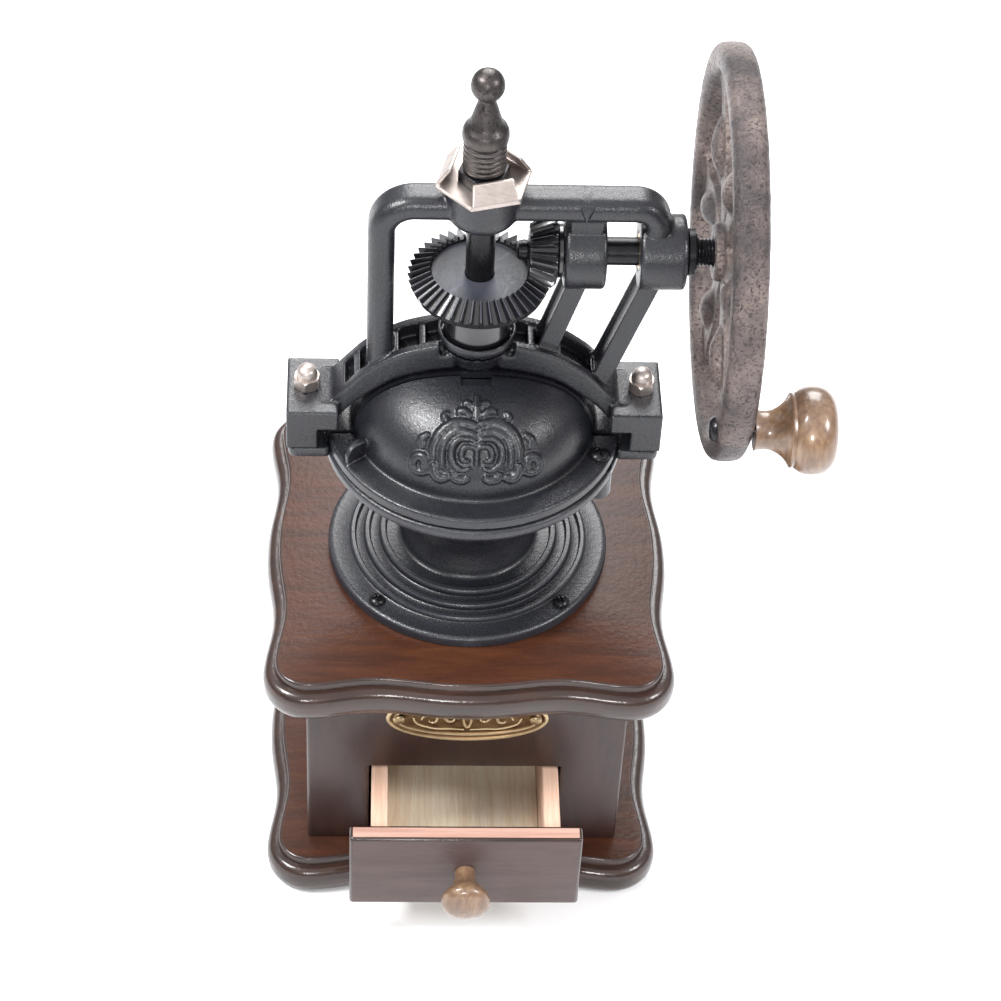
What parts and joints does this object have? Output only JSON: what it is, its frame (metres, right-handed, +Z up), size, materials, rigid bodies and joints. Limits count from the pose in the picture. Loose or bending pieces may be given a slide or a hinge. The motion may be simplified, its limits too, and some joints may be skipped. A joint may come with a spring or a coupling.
{
  "type": "hand crank coffee grinder",
  "caption": "Table coffee grinder with a wooden case and drawer, a cast hopper with a swinging domed lid, a bevel-geared flywheel crank and an adjustable burr set.",
  "frame": {"origin": "on the main shaft's axis, at the underside of the base plate", "axes": "+Z up along the main shaft, +X along the crank shaft towards the flywheel, -Y out of the drawer's front"},
  "size_m": [0.1747, 0.1683, 0.3067],
  "materials": {
    "plate_wood": "gloss lacquer",
    "dark_wood": "satin",
    "pale_wood": "raw",
    "floor_wood": "raw",
    "knob_wood": "gloss lacquer",
    "brass": "antique",
    "casting": "matte",
    "gear_black": "gloss",
    "bright_steel": "satin nickel",
    "dark_steel": "blackened",
    "pewter": "antique"
  },
  "bodies": {
    "frame": {"base_plate": "plate_wood", "top_plate": "plate_wood", "case_front": "dark_wood", "case_back": "dark_wood", "case_left": "dark_wood", "case_right": "dark_wood", "drawer_runner_left": "pale_wood", "drawer_runner_right": "pale_wood", "name_plate": "brass", "name_rivet_left": "brass", "name_rivet_right": "brass", "hopper": "casting", "flange_screw_1": "dark_steel", "flange_screw_2": "dark_steel", "flange_screw_3": "dark_steel", "flange_screw_4": "dark_steel", "outer_burr": "dark_steel", "burr_bracket": "casting", "burr_spring": "bright_steel", "rear_hood": "casting", "lid_screw": "dark_steel", "bridge_frame": "casting", "lower_bush": "brass", "upper_bush": "brass", "crank_bush_inner": "brass", "crank_bush_outer": "brass", "ear_bolt_left": "bright_steel", "acorn_nut_left": "bright_steel", "ear_bolt_right": "bright_steel", "acorn_nut_right": "bright_steel"},
    "crank": {"crank_shaft": "dark_steel", "bevel_pinion": "gear_black", "pinion_nut": "dark_steel", "shaft_collar": "dark_steel", "wheel": "pewter", "wheel_nut": "dark_steel", "handle_bolt": "bright_steel"},
    "handle": {"wheel_knob": "knob_wood"},
    "gear": {"bevel_gear": "gear_black"},
    "shaft": {"main_shaft": "dark_steel", "inner_burr": "dark_steel", "burr_washer": "bright_steel"},
    "adjuster": {"adjusting_plate": "bright_steel", "adjusting_nut": "dark_steel", "finial": "pewter"},
    "lid": {"lid": "casting"},
    "drawer": {"drawer_front": "dark_wood", "drawer_left": "pale_wood", "drawer_right": "pale_wood", "drawer_back": "pale_wood", "drawer_bottom": "floor_wood", "drawer_knob": "knob_wood", "drawer_knob_screw": "bright_steel"}
  },
  "joints": [
    {"name": "crank_spin", "type": "hinge", "parent": "frame", "child": "crank", "pos_m": [0, 0, 0.2381], "axis": [1, 0, 0], "continuous": true},
    {"name": "gear_spin", "type": "hinge", "parent": "frame", "child": "gear", "pos_m": [0, 0, 0.2381], "axis": [0, 0, 1], "continuous": true},
    {"name": "adjust_turn", "type": "hinge", "parent": "gear", "child": "adjuster", "pos_m": [0, 0, 0.268], "axis": [0, 0, 1], "range_deg": [-180, 360]},
    {"name": "shaft_lift", "type": "slide", "parent": "gear", "child": "shaft", "axis": [0, 0, 1], "range_m": [-0.001, 0.0005]},
    {"name": "knob_spin", "type": "hinge", "parent": "crank", "child": "handle", "pos_m": [0.0946, -0.05431, 0.21505], "axis": [1, 0, 0], "continuous": true},
    {"name": "lid_swing", "type": "hinge", "parent": "frame", "child": "lid", "pos_m": [0.0402, -0.0177, 0.165], "axis": [0, 0, 1], "range_deg": [0, 95]},
    {"name": "drawer_slide", "type": "slide", "parent": "frame", "child": "drawer", "axis": [0, -1, 0], "range_m": [-0.025, 0.035]}
  ],
  "couplings": [
    {"joint": "gear_spin", "follows": "crank_spin", "ratio": 0.5},
    {"joint": "adjust_turn", "follows": "shaft_lift", "rad_per_m": -6283}
  ]
}
